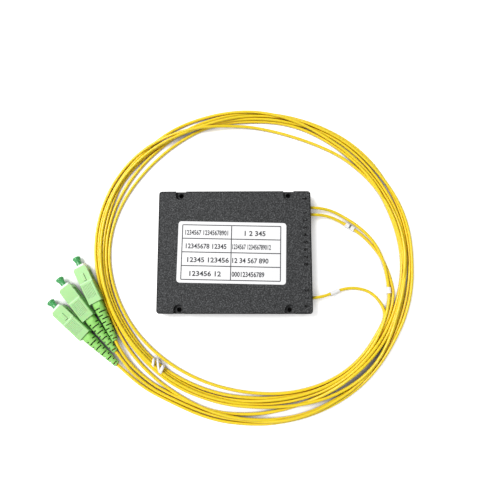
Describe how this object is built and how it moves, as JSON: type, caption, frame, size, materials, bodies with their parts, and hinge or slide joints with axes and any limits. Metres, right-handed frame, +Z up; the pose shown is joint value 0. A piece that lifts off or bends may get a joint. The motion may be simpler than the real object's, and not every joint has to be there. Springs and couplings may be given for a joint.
{
  "type": "plc fibre splitter",
  "caption": "Flat boxed planar optical splitter with yellow fibre cords in a loose coil, each ending in a green angled push-pull connector with a dust cap.",
  "frame": {"origin": "middle of the box's underside, on the surface that the whole lies on", "axes": "+Z up, +X towards the end that the cords leave, +Y across the box"},
  "size_m": [0.2404, 0.2092, 0.0101],
  "materials": {
    "box_plastic": "fine-grained charcoal",
    "label_paper": "white printed paper",
    "tube_steel": "plain steel",
    "stopper_rubber": "matte",
    "chip_glass": "polished silica",
    "array_glass": "ground silica",
    "fibre_coat": "buffered fibre",
    "cord_jacket": "yellow cord jacket",
    "grip_plastic": "green moulded grip",
    "frame_plastic": "pale housing",
    "ferrule_ceramic": "white zirconia",
    "flange_metal": "nickel",
    "spring_steel": "drawn wire",
    "post_metal": "turned",
    "crimp_metal": "crimped",
    "boot_rubber": "green soft boot",
    "cap_plastic": "translucent green",
    "marker_plastic": "white marker sleeve",
    "tie_fabric": "white soft tie"
  },
  "bodies": {
    "module": {"base_shell": "box_plastic", "bend_boot_1": "boot_rubber", "bend_boot_2": "boot_rubber", "bend_boot_3": "boot_rubber", "coil_tie": "tie_fabric", "cord_coil": "cord_jacket", "cord_end_1": "cord_jacket", "cord_end_2": "cord_jacket", "cord_end_3": "cord_jacket", "crimp_ring_1": "crimp_metal", "crimp_ring_2": "crimp_metal", "crimp_ring_3": "crimp_metal", "input_fibre": "fibre_coat", "input_fibre_array": "array_glass", "input_lead": "cord_jacket", "input_marker": "marker_plastic", "input_stopper": "stopper_rubber", "lid_shell": "box_plastic", "output_fibre_1": "fibre_coat", "output_fibre_2": "fibre_coat", "output_fibre_array": "array_glass", "output_lead_1": "cord_jacket", "output_lead_2": "cord_jacket", "output_marker_1": "marker_plastic", "output_marker_2": "marker_plastic", "output_stopper": "stopper_rubber", "package_tube": "tube_steel", "paper_label": "label_paper", "plug_frame_1": "frame_plastic", "plug_frame_2": "frame_plastic", "plug_frame_3": "frame_plastic", "rear_post_1": "post_metal", "rear_post_2": "post_metal", "rear_post_3": "post_metal", "splitter_chip": "chip_glass", "spring_1": "spring_steel", "spring_2": "spring_steel", "spring_3": "spring_steel", "tail_1": "cord_jacket", "tail_2": "cord_jacket", "tail_3": "cord_jacket"},
    "cap_1": {"dust_cap_1": "cap_plastic"},
    "cap_2": {"dust_cap_2": "cap_plastic"},
    "cap_3": {"dust_cap_3": "cap_plastic"},
    "ferrule_1": {"ferrule_1": "ferrule_ceramic", "ferrule_flange_1": "flange_metal"},
    "ferrule_2": {"ferrule_2": "ferrule_ceramic", "ferrule_flange_2": "flange_metal"},
    "ferrule_3": {"ferrule_3": "ferrule_ceramic", "ferrule_flange_3": "flange_metal"},
    "grip_1": {"grip_sleeve_1": "grip_plastic"},
    "grip_2": {"grip_sleeve_2": "grip_plastic"},
    "grip_3": {"grip_sleeve_3": "grip_plastic"}
  },
  "joints": [
    {"name": "grip_slide_1", "type": "slide", "parent": "module", "child": "grip_1", "axis": [0.4664, -0.8846, 0], "range_m": [0, 0.002]},
    {"name": "ferrule_float_1", "type": "slide", "parent": "module", "child": "ferrule_1", "axis": [0.4664, -0.8846, 0], "range_m": [0, 0.001], "stiffness_N_per_m": 300, "springref_m": -0.001, "deforming": ["spring_1"]},
    {"name": "cap_pull_1", "type": "slide", "parent": "ferrule_1", "child": "cap_1", "axis": [-0.4664, 0.8846, 0], "range_m": [0, 0.012]},
    {"name": "grip_slide_2", "type": "slide", "parent": "module", "child": "grip_2", "axis": [0.6372, -0.7702, -0.0288], "range_m": [0, 0.002]},
    {"name": "ferrule_float_2", "type": "slide", "parent": "module", "child": "ferrule_2", "axis": [0.6372, -0.7702, -0.0288], "range_m": [0, 0.001], "stiffness_N_per_m": 300, "springref_m": -0.001, "deforming": ["spring_2"]},
    {"name": "cap_pull_2", "type": "slide", "parent": "ferrule_2", "child": "cap_2", "axis": [-0.6372, 0.7702, 0.0288], "range_m": [0, 0.012]},
    {"name": "grip_slide_3", "type": "slide", "parent": "module", "child": "grip_3", "axis": [0.7536, -0.6574, 0], "range_m": [0, 0.002]},
    {"name": "ferrule_float_3", "type": "slide", "parent": "module", "child": "ferrule_3", "axis": [0.7536, -0.6574, 0], "range_m": [0, 0.001], "stiffness_N_per_m": 300, "springref_m": -0.001, "deforming": ["spring_3"]},
    {"name": "cap_pull_3", "type": "slide", "parent": "ferrule_3", "child": "cap_3", "axis": [-0.7536, 0.6574, 0], "range_m": [0, 0.012]}
  ]
}
